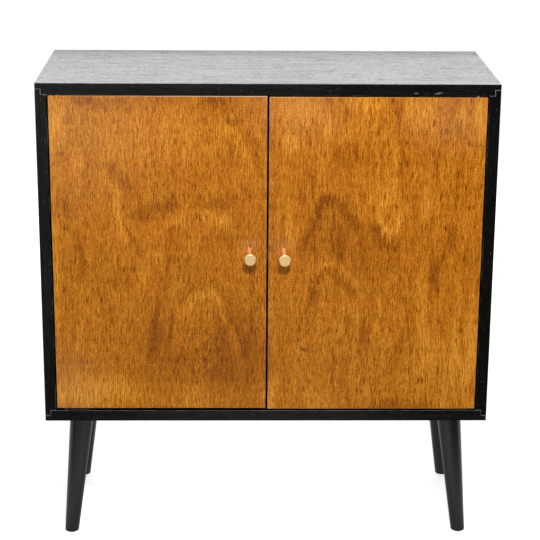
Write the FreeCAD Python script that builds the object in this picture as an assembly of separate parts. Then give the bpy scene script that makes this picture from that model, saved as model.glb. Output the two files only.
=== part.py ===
import FreeCAD, Part
import math
import os

from FreeCAD import Placement, Rotation, Vector

# A two-door record cabinet on four splayed legs, in millimetres.
# +Z is up and the doors face -Y. The origin lies on the floor, under the middle of the whole object.

# Carcass: four panels with stepped corner joints
carcass_width = 915.0
carcass_depth = 386.0
carcass_height = 708.0
panel_thickness = 23.0
corner_lap = 11.5
arris_radius = 0.8

# Back panel, let into a rebate, and shelf, housed in the side panels
back_thickness = 6.0
back_rebate = 10.0
lower_compartment_height = 316.5
shelf_thickness = 18.0
shelf_front_clearance = 3.0
housing_depth = 8.0
joint_clearance = 0.1

# Doors: flush slabs, hung a little unevenly
door_thickness = 19.0
door_arris_radius = 1.0
side_gap = 2.6
centre_gap = 4.2
door_top_gap = 2.6
door_bottom_gap = 4.4
left_door_rise = 0.8
right_door_rise = -0.8
swing_clearance = 0.9

# Concealed pivot hinges: a leaf in the carcass and a leaf in the door on one pin
leaf_reach = 46.0
leaf_width = 10.0
leaf_thickness = 2.0
leaf_front_margin = 3.0
leaf_clearance = 0.15
leaf_first_screw = 15.0
leaf_screw_pitch = 18.0
pin_diameter = 6.0
pin_in_panel = 8.0
pin_beyond_leaf = 6.0
pin_end_clearance = 0.8
press_clearance = 0.02
running_clearance = 0.05
washer_diameter = 9.6
washer_clearance = 0.2
thrust_clearance = 0.05

# Knobs
knob_diameter = 25.0
knob_projection = 27.0
knob_bevel = 2.0
knob_back_bevel = 0.4
knob_from_free_edge = 32.7
knob_above_door_bottom = 327.0
knob_screw_diameter = 4.0
knob_screw_engagement = 10.0
knob_screw_head_diameter = 8.0
knob_screw_head_height = 2.4
knob_screw_head_round = 0.8

# Magnetic catches and strike plates
catch_from_free_edge = 62.0
catch_width = 34.0
catch_depth = 15.0
catch_height = 13.0
catch_wall = 2.5
ear_length = 11.0
ear_thickness = 3.0
magnet_height = 5.0
pole_thickness = 1.2
pole_proud = 1.0
catch_air_gap = 0.2
strike_width = 36.0
strike_height = 12.0
strike_thickness = 1.2

# Legs, their bolts and their glides
leg_height = 269.0
leg_top_diameter = 50.5
leg_foot_diameter = 29.0
leg_lean = 27.0
foot_inset = 43.5
foot_round = 2.0
bolt_diameter = 8.0
bolt_in_leg = 40.0
bolt_end_gap = 1.0
insert_diameter = 13.0
insert_cover = 3.5
glide_diameter = 22.0
glide_thickness = 1.5
glide_bevel = 0.5
spigot_diameter = 5.0
spigot_length = 10.0

# Countersunk wood screws
screw_head_diameter = 7.0
screw_shank_diameter = 3.5
screw_tip_length = 4.0
screw_clearance = 0.1
screw_cover = 6.0
recess_span = 4.0
recess_width = 1.0
recess_depth = 1.2
door_leaf_screw_length = 25.0
back_screw_length = 20.0
back_screw_columns = 5
back_screw_rows = 4
shelf_screw_count = 3

# Spare length of a cutting tool outside the piece it cuts
overshoot = 1.0

# Levels and planes worked out from the sizes
half_width = carcass_width / 2
inner_x = half_width - panel_thickness
front = (knob_projection - carcass_depth) / 2
back = front + carcass_depth
underside = leg_height
inner_bottom = underside + panel_thickness
top = underside + carcass_height
ceiling = top - panel_thickness
back_face = back - back_thickness

# The pivot stands far enough from the door's edge for its front corner to clear the side panel
pivot_from_face = leaf_front_margin + leaf_width / 2
swing_room = side_gap - swing_clearance
pivot_from_edge = (pivot_from_face ** 2 - swing_room ** 2) / (2 * swing_room)
pivot_x = inner_x - side_gap - pivot_from_edge
pivot_y = front + pivot_from_face

# The shelf stands behind the arc that the door's heel sweeps
heel_sweep = pivot_from_face + math.hypot(pivot_from_edge, door_thickness - pivot_from_face)
shelf_front = front + heel_sweep + shelf_front_clearance
shelf_bottom = inner_bottom + lower_compartment_height
shelf_top = shelf_bottom + shelf_thickness

door_height = ceiling - inner_bottom - door_top_gap - door_bottom_gap
door_back = front + door_thickness

SIDES = {"left": -1, "right": 1}
ENDS = {"upper": 1, "lower": -1}
DOOR_RISE = {"left": left_door_rise, "right": right_door_rise}

UP = Vector(0, 0, 1)
FORWARD = Vector(0, -1, 0)
BACKWARD = Vector(0, 1, 0)


# Shape helpers


def block(x_range, y_range, z_range):
    """Box between two values on each axis, given in either order."""
    low = Vector(min(x_range), min(y_range), min(z_range))
    high = Vector(max(x_range), max(y_range), max(z_range))
    size = high - low
    return Part.makeBox(size.x, size.y, size.z, low)


def turned(points):
    """Solid turned about +Z from half-profile points (radius, height)."""
    corners = [Vector(radius, 0, height) for radius, height in points + points[:1]]
    return Part.Face(Part.makePolygon(corners)).revolve(Vector(), UP, 360)


def placed(solid, position, direction=UP):
    """The solid moved from the origin to a position, its +Z turned to a direction."""
    solid.Placement = Placement(position, Rotation(UP, direction))
    return solid


def eased(solid, radius, plane_tests):
    """The solid with the edges that lie wholly in one of the given planes rounded."""
    edges = []
    for edge in solid.Edges:
        if any(all(test(vertex.Point) for vertex in edge.Vertexes) for test in plane_tests):
            edges.append(edge)
    return solid.makeFillet(radius, edges)


def at_level(axis, value):
    """Test of whether a point lies in the plane where one coordinate has a value."""
    return lambda point: math.isclose(getattr(point, axis), value, abs_tol=1e-6)


def save(node, *solids):
    """Writes a node: one solid, or a group of separate solids."""
    shape = solids[0] if len(solids) == 1 else Part.makeCompound(solids)
    shape.exportStep("parts/" + node + ".step")


# Screws, modelled along +Z with the head's face at zero


def cross_recess(face_height):
    half_span = recess_span / 2
    half_width_of_slot = recess_width / 2
    depth = (face_height - overshoot, face_height + recess_depth)
    long_slot = (-half_span, half_span)
    short_slot = (-half_width_of_slot, half_width_of_slot)
    return [block(long_slot, short_slot, depth), block(short_slot, long_slot, depth)]


def wood_screw(length):
    head = screw_head_diameter / 2
    shank = screw_shank_diameter / 2
    outline = [(0, 0), (head, 0), (shank, head - shank), (shank, length - screw_tip_length), (0, length)]
    return turned(outline).cut(cross_recess(0))


def wood_screw_hole(length):
    head = screw_head_diameter / 2 + screw_clearance
    shank = screw_shank_diameter / 2 + screw_clearance
    depth = length + screw_clearance
    mouth = -overshoot
    return turned([(0, mouth), (head, mouth), (head, 0), (shank, head - shank), (shank, depth), (0, depth)])


def screws(sites, length):
    return [placed(wood_screw(length), position, direction) for position, direction in sites]


def screw_holes(sites, length):
    return [placed(wood_screw_hole(length), position, direction) for position, direction in sites]


# Hinges


def door_edge(side, end):
    """Height of a door's top or bottom edge."""
    bottom = inner_bottom + door_bottom_gap + DOOR_RISE[side]
    return bottom + door_height if end == "upper" else bottom


def frame_face(end):
    """Height of the carcass face that carries a frame leaf."""
    return ceiling if end == "upper" else inner_bottom


def leaf_placement(side, height, into):
    """A leaf reaches from the pivot towards the middle, sunk upwards (1) or downwards (-1)."""
    turn = Rotation(UP, 180 if SIDES[side] > 0 else 0)
    flip = Rotation(Vector(1, 0, 0), 0 if into > 0 else 180)
    position = Vector(SIDES[side] * pivot_x, pivot_y, height)
    return Placement(position, turn.multiply(flip))


def leaf_outline(width):
    """Plate with round ends, from the pivot along +X, its outer face at zero."""
    half = width / 2
    plate = block((0, leaf_reach), (-half, half), (0, leaf_thickness))
    ends = [Part.makeCylinder(half, leaf_thickness, Vector(x, 0, 0)) for x in (0, leaf_reach)]
    return plate.multiFuse(ends).removeSplitter()


def leaf_screw_places():
    return [Vector(leaf_first_screw + i * leaf_screw_pitch, 0, 0) for i in range(2)]


def leaf(placement, pin_hole_radius, screw_length):
    holes = [placed(wood_screw_hole(screw_length), place) for place in leaf_screw_places()]
    holes.append(Part.makeCylinder(pin_hole_radius, leaf_thickness + 2 * overshoot, Vector(0, 0, -overshoot)))
    plate = leaf_outline(leaf_width).cut(holes)
    plate.Placement = placement
    return plate


def leaf_pocket(placement, screw_length):
    """What a leaf and its screws take out of the wood."""
    cuts = [leaf_outline(leaf_width + 2 * leaf_clearance)]
    cuts += [placed(wood_screw_hole(screw_length), place) for place in leaf_screw_places()]
    for cut in cuts:
        cut.Placement = placement.multiply(cut.Placement)
    return cuts


def leaf_screws(placement, screw_length):
    pieces = [placed(wood_screw(screw_length), place) for place in leaf_screw_places()]
    for piece in pieces:
        piece.Placement = placement.multiply(piece.Placement)
    return pieces


def frame_leaf_placement(side, end):
    return leaf_placement(side, frame_face(end), ENDS[end])


def door_leaf_placement(side, end):
    return leaf_placement(side, door_edge(side, end), -ENDS[end])


def pin_shape(side, end, radius, extra):
    """Cylinder on the pivot axis, from the panel through both leaves into the door's edge."""
    outer = frame_face(end) + ENDS[end] * (leaf_thickness + pin_in_panel + extra)
    inner = door_edge(side, end) - ENDS[end] * (leaf_thickness + pin_beyond_leaf + extra)
    base = Vector(SIDES[side] * pivot_x, pivot_y, min(outer, inner))
    return Part.makeCylinder(radius, abs(outer - inner), base)


def hinge_pin(side, end):
    return pin_shape(side, end, pin_diameter / 2, 0)


def thrust_washer(side):
    base = Vector(SIDES[side] * pivot_x, pivot_y, inner_bottom)
    height = door_edge(side, "lower") - thrust_clearance - inner_bottom
    bore = Part.makeCylinder(pin_diameter / 2 + washer_clearance, height, base)
    return Part.makeCylinder(washer_diameter / 2, height, base).cut(bore)


frame_screw_length = panel_thickness - screw_cover
frame_leaf_bore = pin_diameter / 2 + press_clearance
door_leaf_bore = pin_diameter / 2 + running_clearance


def frame_hinge_cuts(end):
    """Pockets, screw holes and pin seats in the top panel (upper) or the bottom panel (lower)."""
    cuts = []
    for side in SIDES:
        cuts += leaf_pocket(frame_leaf_placement(side, end), frame_screw_length)
        cuts.append(pin_shape(side, end, pin_diameter / 2 + joint_clearance, joint_clearance))
    return cuts


def door_hinge_cuts(side):
    cuts = []
    for end in ENDS:
        cuts += leaf_pocket(door_leaf_placement(side, end), door_leaf_screw_length)
        cuts.append(pin_shape(side, end, pin_diameter / 2 + pin_end_clearance, pin_end_clearance))
    return cuts


# Magnetic catches

catch_screw_length = panel_thickness - screw_cover
strike_screw_length = door_thickness - screw_cover
strike_face = door_back + strike_thickness
pole_front = strike_face + catch_air_gap
housing_front = pole_front + pole_proud
pole_width = catch_width - 2 * catch_wall
pole_depth = pole_proud + catch_depth - catch_wall
catch_level = ceiling - catch_height / 2


def catch_x(side):
    return SIDES[side] * (centre_gap / 2 + catch_from_free_edge)


def across(side, width):
    """Range of X of a given width about a catch's middle."""
    return (catch_x(side) - width / 2, catch_x(side) + width / 2)


def catch_stack():
    """Half the height of the magnet with a pole plate on each face."""
    return magnet_height / 2 + pole_thickness


def catch_screw_sites(side):
    offset = (catch_width + ear_length) / 2
    y = housing_front + catch_depth / 2
    return [(Vector(catch_x(side) + end * offset, y, ceiling - ear_thickness), UP) for end in (-1, 1)]


def catch_housing(side):
    y_range = (housing_front, housing_front + catch_depth)
    body = block(across(side, catch_width), y_range, (ceiling - catch_height, ceiling))
    ears = block(across(side, catch_width + 2 * ear_length), y_range, (ceiling - ear_thickness, ceiling))
    room = catch_stack() + joint_clearance
    mouth = (housing_front - overshoot, pole_front + pole_depth + joint_clearance)
    slot_width = pole_width + 2 * joint_clearance
    slot = block(across(side, slot_width), mouth, (catch_level - room, catch_level + room))
    holes = screw_holes(catch_screw_sites(side), catch_screw_length)
    return body.fuse(ears).removeSplitter().cut([slot] + holes)


def catch_magnet(side):
    half = magnet_height / 2
    y_range = (housing_front, pole_front + pole_depth)
    return block(across(side, pole_width), y_range, (catch_level - half, catch_level + half))


def catch_poles(side):
    y_range = (pole_front, pole_front + pole_depth)
    plates = []
    for up in ENDS.values():
        inner = catch_level + up * magnet_height / 2
        outer = catch_level + up * catch_stack()
        plates.append(block(across(side, pole_width), y_range, (inner, outer)))
    return plates


def strike_screw_sites(side):
    return [(Vector(catch_x(side), strike_face, catch_level), FORWARD)]


def strike_plate(side):
    half = strike_height / 2
    plate = block(across(side, strike_width), (door_back, strike_face), (catch_level - half, catch_level + half))
    return plate.cut(screw_holes(strike_screw_sites(side), strike_screw_length))


# Knobs, modelled along +Z from the door's face


def knob_place(side):
    x = SIDES[side] * (centre_gap / 2 + knob_from_free_edge)
    return x, door_edge(side, "lower") + knob_above_door_bottom


def knob(side):
    rim = knob_diameter / 2
    outline = [(0, 0), (rim - knob_back_bevel, 0), (rim, knob_back_bevel), (rim, knob_projection - knob_bevel)]
    outline += [(rim - knob_bevel, knob_projection), (0, knob_projection)]
    thread = Part.makeCylinder(knob_screw_diameter / 2 + screw_clearance, knob_screw_engagement + overshoot)
    x, z = knob_place(side)
    return placed(turned(outline).cut(thread), Vector(x, front, z), FORWARD)


def knob_screw(side):
    head = knob_screw_head_diameter / 2
    shank = knob_screw_diameter / 2
    crown = -knob_screw_head_height
    length = door_thickness + knob_screw_engagement
    outline = [(0, crown), (head - knob_screw_head_round, crown), (head, crown + knob_screw_head_round)]
    outline += [(head, 0), (shank, 0), (shank, length), (0, length)]
    x, z = knob_place(side)
    return placed(turned(outline).cut(cross_recess(crown)), Vector(x, door_back, z), FORWARD)


def knob_hole(side):
    x, z = knob_place(side)
    start = Vector(x, front - overshoot, z)
    length = door_thickness + 2 * overshoot
    return Part.makeCylinder(knob_screw_diameter / 2 + screw_clearance, length, start, BACKWARD)


# Doors


def door(side):
    hinge_edge = SIDES[side] * (inner_x - side_gap)
    free_edge = SIDES[side] * centre_gap / 2
    z_range = (door_edge(side, "lower"), door_edge(side, "upper"))
    slab = block((hinge_edge, free_edge), (front, door_back), z_range)
    slab = slab.makeFillet(door_arris_radius, slab.Edges)
    strike_holes = screw_holes(strike_screw_sites(side), strike_screw_length)
    return slab.cut(door_hinge_cuts(side) + strike_holes + [knob_hole(side)])


# Legs, each leaning out to its corner

leg_corners = {
    "front_left": (-1, -1),
    "front_right": (1, -1),
    "rear_left": (-1, 1),
    "rear_right": (1, 1),
}


def foot_point(corner):
    x_sign, y_sign = leg_corners[corner]
    y = front + foot_inset if y_sign < 0 else back - foot_inset
    return Vector(x_sign * (half_width - foot_inset), y, 0)


def leg_axis(corner):
    x_sign, y_sign = leg_corners[corner]
    return Vector(-x_sign * leg_lean, -y_sign * leg_lean, leg_height)


def leg_top(corner):
    return foot_point(corner) + leg_axis(corner)


def leg(corner):
    axis = leg_axis(corner)
    along = Vector(axis).normalize()
    spare = leg_top_diameter / 2
    taper = (leg_top_diameter - leg_foot_diameter) / 2 / axis.Length
    foot_radius = leg_foot_diameter / 2 - taper * spare
    top_radius = leg_top_diameter / 2 + taper * spare
    cone = Part.makeCone(foot_radius, top_radius, axis.Length + 2 * spare, foot_point(corner) - along * spare, along)
    reach = (-carcass_width, carcass_width)
    body = cone.common(block(reach, reach, (glide_thickness, underside)))
    body = eased(body, foot_round, [at_level("z", glide_thickness)])
    bolt_room = bolt_shape(corner, bolt_diameter / 2 + joint_clearance, joint_clearance)
    return body.cut([bolt_room, glide_spigot(corner, joint_clearance)])


def lean_angle():
    return math.atan2(math.hypot(leg_lean, leg_lean), leg_height)


def insert_length():
    """Axial length that leaves the insert's highest point below the panel's inner face."""
    rise = panel_thickness - insert_cover - insert_diameter / 2 * math.sin(lean_angle())
    return rise / math.cos(lean_angle())


def bolt_shape(corner, radius, extra):
    along = leg_axis(corner).normalize()
    start = leg_top(corner) - along * (bolt_in_leg + extra)
    return Part.makeCylinder(radius, bolt_in_leg + insert_length() - bolt_end_gap + extra, start, along)


def hanger_bolt(corner):
    return bolt_shape(corner, bolt_diameter / 2, 0)


def insert_shape(corner, radius, extra):
    """Cylinder on the leg's axis inside the bottom panel, cut level with its underside."""
    along = leg_axis(corner).normalize()
    start = leg_top(corner) - along * insert_diameter
    body = Part.makeCylinder(radius, insert_diameter + insert_length() + extra, start, along)
    reach = (-carcass_width, carcass_width)
    return body.common(block(reach, reach, (underside, top)))


def threaded_insert(corner):
    bore = bolt_shape(corner, bolt_diameter / 2 + joint_clearance, insert_diameter + bolt_end_gap)
    return insert_shape(corner, insert_diameter / 2, 0).cut(bore)


def glide_spigot(corner, extra):
    base = foot_point(corner) + UP * (glide_thickness - overshoot)
    return Part.makeCylinder(spigot_diameter / 2 + extra, spigot_length + overshoot + extra, base)


def glide(corner):
    radius = glide_diameter / 2
    outline = [(0, 0), (radius - glide_bevel, 0), (radius, glide_bevel), (radius, glide_thickness), (0, glide_thickness)]
    return placed(turned(outline), foot_point(corner)).fuse(glide_spigot(corner, 0))


# Carcass


def back_outline(clearance):
    """The back panel's space in the rebates."""
    x = inner_x + back_rebate - clearance
    z_range = (inner_bottom - back_rebate + clearance, ceiling + back_rebate - clearance)
    return (-x, x), z_range


def back_recess():
    x_range, z_range = back_outline(0)
    return block(x_range, (back_face, back + overshoot), z_range)


def spread(low, high, count):
    """Evenly spaced values from low to high."""
    return [low + (high - low) * i / (count - 1) for i in range(count)]


def back_screw_sites():
    margin = back_rebate / 2
    x_edge = inner_x + margin
    rows = spread(inner_bottom - margin, ceiling + margin, back_screw_rows)
    places = [(x, z) for z in (rows[0], rows[-1]) for x in spread(-x_edge, x_edge, back_screw_columns)]
    places += [(x, z) for z in rows[1:-1] for x in (-x_edge, x_edge)]
    shelf_line = (shelf_bottom + shelf_top) / 2
    places += [(x, shelf_line) for x in spread(-x_edge / 2, x_edge / 2, shelf_screw_count)]
    return [(Vector(x, back, z), FORWARD) for x, z in places]


def back_cuts():
    return [back_recess()] + screw_holes(back_screw_sites(), back_screw_length)


def back_panel():
    x_range, z_range = back_outline(joint_clearance)
    return block(x_range, (back_face, back), z_range).cut(screw_holes(back_screw_sites(), back_screw_length))


def lid(outer, inner):
    """Top or bottom panel: full width outside, stepped in by a lap on its inner part at both ends."""
    step = inner + math.copysign(corner_lap, outer - inner)
    stepped = half_width - corner_lap
    outline = [(-half_width, outer), (half_width, outer), (half_width, step), (stepped, step)]
    outline += [(stepped, inner), (-stepped, inner), (-stepped, step), (-half_width, step)]
    corners = [Vector(x, front, z) for x, z in outline + outline[:1]]
    body = Part.Face(Part.makePolygon(corners)).extrude(Vector(0, carcass_depth, 0))
    return eased(body, arris_radius, [at_level("y", front), at_level("z", outer)])


def top_panel():
    holes = []
    for side in SIDES:
        holes += screw_holes(catch_screw_sites(side), catch_screw_length)
    return lid(top, ceiling).cut(frame_hinge_cuts("upper") + back_cuts() + holes)


def bottom_panel():
    rooms = [insert_shape(corner, insert_diameter / 2 + joint_clearance, joint_clearance) for corner in leg_corners]
    return lid(underside, inner_bottom).cut(frame_hinge_cuts("lower") + back_cuts() + rooms)


def shelf_space(clearance):
    x = inner_x + housing_depth - clearance
    z_range = (shelf_bottom + clearance, shelf_top - clearance)
    return block((-x, x), (shelf_front, back_face), z_range)


def shelf():
    board = eased(shelf_space(joint_clearance), arris_radius, [at_level("y", shelf_front)])
    return board.cut(screw_holes(back_screw_sites(), back_screw_length))


def side_panel(side):
    """Side panel: its outer part reaches up and down by a lap into the top and bottom panels."""
    outer = SIDES[side] * half_width
    inner = SIDES[side] * inner_x
    step = SIDES[side] * (half_width - corner_lap)
    outline = [(outer, inner_bottom - corner_lap), (step, inner_bottom - corner_lap), (step, inner_bottom)]
    outline += [(inner, inner_bottom), (inner, ceiling), (step, ceiling)]
    outline += [(step, ceiling + corner_lap), (outer, ceiling + corner_lap)]
    corners = [Vector(x, front, z) for x, z in outline + outline[:1]]
    body = Part.Face(Part.makePolygon(corners)).extrude(Vector(0, carcass_depth, 0))
    body = eased(body, arris_radius, [at_level("y", front)])
    return body.cut([shelf_space(0)] + back_cuts())


# The nodes

os.makedirs("parts", exist_ok=True)

save("top_panel", top_panel())
save("bottom_panel", bottom_panel())
save("back_panel", back_panel())
save("back_screws", *screws(back_screw_sites(), back_screw_length))
save("shelf", shelf())

frame_screws = []
catch_screws = []
pole_plates = []
for side in SIDES:
    save(side + "_side_panel", side_panel(side))
    save(side + "_door", door(side))
    save(side + "_knob", knob(side))
    save(side + "_knob_screw", knob_screw(side))
    save(side + "_strike_plate", strike_plate(side))
    save(side + "_strike_screw", *screws(strike_screw_sites(side), strike_screw_length))
    save(side + "_catch_housing", catch_housing(side))
    save(side + "_catch_magnet", catch_magnet(side))
    save(side + "_thrust_washer", thrust_washer(side))
    pole_plates += catch_poles(side)
    catch_screws += screws(catch_screw_sites(side), catch_screw_length)
    door_screws = []
    for end in ENDS:
        frame_place = frame_leaf_placement(side, end)
        door_place = door_leaf_placement(side, end)
        save(side + "_" + end + "_frame_leaf", leaf(frame_place, frame_leaf_bore, frame_screw_length))
        save(side + "_" + end + "_door_leaf", leaf(door_place, door_leaf_bore, door_leaf_screw_length))
        save(side + "_" + end + "_hinge_pin", hinge_pin(side, end))
        frame_screws += leaf_screws(frame_place, frame_screw_length)
        door_screws += leaf_screws(door_place, door_leaf_screw_length)
    save(side + "_door_leaf_screws", *door_screws)
save("frame_leaf_screws", *frame_screws)
save("catch_pole_plates", *pole_plates)
save("catch_screws", *catch_screws)

for corner in leg_corners:
    save(corner + "_leg", leg(corner))
    save(corner + "_glide", glide(corner))
save("leg_bolts", *[hanger_bolt(corner) for corner in leg_corners])
save("leg_inserts", *[threaded_insert(corner) for corner in leg_corners])
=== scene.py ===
# %% [markdown]
# A record cabinet on splayed legs.
# The real cabinet is a black-stained box on four turned legs, closed by two flush doors in golden brown
# veneer with a small brass knob on each. Its construction comes in as a fixed frame of separate pieces.
# This script dresses that frame: it sets up the studio, mixes a finish for every surface and models the
# thin beads of filler that show at the corner joints.

# %% Load the frame
import math

import bpy
from mathutils import Euler, Matrix, Vector


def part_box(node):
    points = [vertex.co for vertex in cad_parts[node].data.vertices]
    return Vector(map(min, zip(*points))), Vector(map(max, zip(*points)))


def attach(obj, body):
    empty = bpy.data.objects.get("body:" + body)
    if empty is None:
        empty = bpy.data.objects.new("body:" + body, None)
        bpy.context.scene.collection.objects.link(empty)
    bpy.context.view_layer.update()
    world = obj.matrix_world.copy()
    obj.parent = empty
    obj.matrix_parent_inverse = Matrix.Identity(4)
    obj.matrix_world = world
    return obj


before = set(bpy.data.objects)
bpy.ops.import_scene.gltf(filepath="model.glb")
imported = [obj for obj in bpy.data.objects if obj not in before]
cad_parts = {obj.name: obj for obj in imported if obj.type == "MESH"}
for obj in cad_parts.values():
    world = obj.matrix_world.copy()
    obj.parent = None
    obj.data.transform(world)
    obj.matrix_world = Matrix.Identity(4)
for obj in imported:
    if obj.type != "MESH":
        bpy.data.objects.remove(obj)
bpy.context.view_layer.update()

bpy.ops.object.select_all(action="DESELECT")

# %% [markdown]
# The camera.
# A long lens a good three metres away keeps the box nearly parallel, and a slight look down shows the top.
# The place and the angles come from fitting a pinhole camera to the six visible corners of the carcass.
# Turning in the order tilt, turn, roll keeps each angle readable on its own.

# %% Set the camera
lens_mm = 112.89
camera_place = Vector((-0.063, -3.4506, 1.5992))
camera_tilt = math.radians(17.04)
camera_turn = math.radians(-1.198)
camera_roll = math.radians(0.418)

bpy.ops.object.camera_add(location=camera_place)
camera = bpy.context.object
camera.name = "photo_camera"
camera.data.lens = lens_mm
level_view = Euler((math.pi / 2 - camera_tilt, 0, camera_turn)).to_matrix()
camera.rotation_euler = (level_view @ Matrix.Rotation(camera_roll, 3, "Z")).to_euler()
bpy.context.scene.camera = camera
bpy.context.scene.view_settings.view_transform = "Standard"
print("camera:", tuple(round(v, 3) for v in camera.location), "lens", lens_mm)

# %% [markdown]
# Helpers for shader nodes.
# A finish is a small graph: textures make masks, masks mix colours, and the result goes into one shader.
# Placing nodes by hand takes many lines, so one helper adds a node and fills its inputs. An input takes
# either a fixed value or the output of another node, which is then linked.

# %% Helpers for shader nodes
def fill(tree, made, inputs):
    """Give a node's inputs their values, or link them to another node's output."""
    for key, value in inputs.items():
        if isinstance(value, bpy.types.NodeSocket):
            tree.links.new(value, made.inputs[key])
        else:
            made.inputs[key].default_value = value


def add_node(tree, kind, inputs=None, **settings):
    """Add a shader node, set its options and fill its inputs."""
    made = tree.nodes.new("ShaderNode" + kind)
    for name, value in settings.items():
        setattr(made, name, value)
    fill(tree, made, inputs or {})
    return made


def calc(tree, operation, first, second=0.0, third=0.0):
    """One step of arithmetic on values."""
    return add_node(tree, "Math", {0: first, 1: second, 2: third}, operation=operation).outputs[0]


def vector_calc(tree, operation, *vectors):
    """One step of arithmetic on points and directions."""
    return add_node(tree, "VectorMath", dict(enumerate(vectors)), operation=operation).outputs[0]


def plus(tree, total, mask, amount, middle=0.0):
    """A running total plus a mask times an amount; middle is the mask's neutral value."""
    if middle:
        mask = calc(tree, "SUBTRACT", mask, middle)
    return calc(tree, "MULTIPLY_ADD", mask, amount, total)


def remap(tree, value, low, high, to_low=0.0, to_high=1.0):
    """Stretch a value from one range to another with soft ends."""
    inputs = {"Value": value, "From Min": low, "From Max": high, "To Min": to_low, "To Max": to_high}
    return add_node(tree, "MapRange", inputs, interpolation_type="SMOOTHSTEP").outputs[0]


def mix_colour(tree, mask, first, second, share=1.0):
    """Mix a second colour over the first by a mask; share is how far it covers."""
    part = calc(tree, "MULTIPLY", mask, share)
    return add_node(tree, "Mix", {0: part, 6: first, 7: second}, data_type="RGBA").outputs[2]


def colour_ramp(tree, value, stops):
    """Colours along a value; each stop is a place from 0 to 1 and a colour."""
    made = add_node(tree, "ValToRGB", {"Fac": value})
    ramp = made.color_ramp
    while len(ramp.elements) < len(stops):
        ramp.elements.new(1.0)
    for element, (place, colour) in zip(ramp.elements, stops):
        element.position = place
        element.color = colour
    return made.outputs["Color"]


def object_place(tree):
    """The point on the piece, in metres in the cabinet's own frame."""
    return add_node(tree, "TexCoord").outputs["Object"]


def axes_of(tree, vector):
    """The three parts of a vector."""
    return add_node(tree, "SeparateXYZ", {0: vector}).outputs


def stretched(tree, vector, scale, turn=(0.0, 0.0, 0.0)):
    """The same point turned and then scaled along each axis."""
    turned = add_node(tree, "Mapping", {"Vector": vector, "Rotation": turn}).outputs[0]
    return add_node(tree, "Mapping", {"Vector": turned, "Scale": scale}).outputs[0]


def noise(tree, vector, scale=1.0, detail=2.0, roughness=0.5):
    """Soft random values around one half."""
    inputs = {"Vector": vector, "Scale": scale, "Detail": detail, "Roughness": roughness}
    return add_node(tree, "TexNoise", inputs).outputs[0]


def new_group(name, inputs, outputs):
    """An empty node group with named sockets; inputs are given as name: (type, value)."""
    group = bpy.data.node_groups.new(name, "ShaderNodeTree")
    for socket_name, (kind, value) in inputs.items():
        socket = group.interface.new_socket(socket_name, in_out="INPUT", socket_type="NodeSocket" + kind)
        socket.default_value = value
    for socket_name in outputs:
        group.interface.new_socket(socket_name, in_out="OUTPUT", socket_type="NodeSocketFloat")
    return group, group.nodes.new("NodeGroupInput").outputs, group.nodes.new("NodeGroupOutput").inputs


def use_group(tree, group, **inputs):
    """Place a group in a material with its own values; an underscore stands for a space in a name."""
    made = tree.nodes.new("ShaderNodeGroup")
    made.node_tree = group
    fill(tree, made, {name.replace("_", " "): value for name, value in inputs.items()})
    return made.outputs


def new_finish(name, **fixed):
    """A material with one Principled shader; the fixed values go straight onto its sockets."""
    material = bpy.data.materials.new(name)
    material.use_nodes = True
    shader = material.node_tree.nodes["Principled BSDF"]
    fill(material.node_tree, shader, {key.replace("_", " "): value for key, value in fixed.items()})
    return material, material.node_tree, shader


def dress(tree, shader, **linked):
    """Link finished colours and values to the shader."""
    fill(tree, shader, {key.replace("_", " "): value for key, value in linked.items()})


def bump(tree, height, strength, depth):
    """A normal that raises and sinks the surface by a height from 0 to 1; depth is in metres."""
    return add_node(tree, "Bump", {"Height": height, "Strength": strength, "Distance": depth}).outputs[0]


print("helpers ready")

# %% [markdown]
# The studio floor and the white surround.
# The cabinet stands on white paper. Seen directly, all around is a plain white surround. In a mirror the
# studio would show: the paper, some shade under the cabinet, a dark patch of floor in front at either
# side, and behind the camera paper and a wall that are brighter on the left. Glossy finishes mirror that: it
# gives a black leg its pale and dark bands, and the varnish a thin veil of light near the top. Camera,
# glossy and transmission rays each see the floor glow, while the light that it sheds stays soft. From
# below, the camera looks through the floor, so that the underside can be seen.

# %% Floor and world
floor_reach = 30.0
floor_colour = (0.50, 0.50, 0.50, 1)
floor_fibre_colour = (0.54, 0.54, 0.54, 1)
floor_glow_near = 0.80
floor_glow_far = 1.00
shadow_reach = (0.9, 2.2)
paper_glow = 0.80
front_glow = (0.64, 0.12)
front_side = (0.12, 0.62)
paper_end = (-0.90, -1.60)
dark_glow = 0.05
dark_from_leg = (0.40, 0.64)
dark_side = (0.22, 0.36)
dark_front = (-0.12, -0.32)
dark_end = (-1.25, -0.95)
front_leg = (0.41, -0.15, 0.0)
under_share = 0.60
under_side = (0.60, 0.40)
under_depth = (0.40, 0.15)
wall_start = (-2.60, -4.60)
wall_side = (1.0, -1.0)
wall_glow = (0.06, 1.50)
wall_turn = (0.22, -0.22)
wall_ahead = (-0.2, -0.7)
ambient_level = 0.08

bpy.ops.mesh.primitive_grid_add(x_subdivisions=8, y_subdivisions=8, size=floor_reach)
floor = bpy.context.object
floor.name = "studio_floor"

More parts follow.
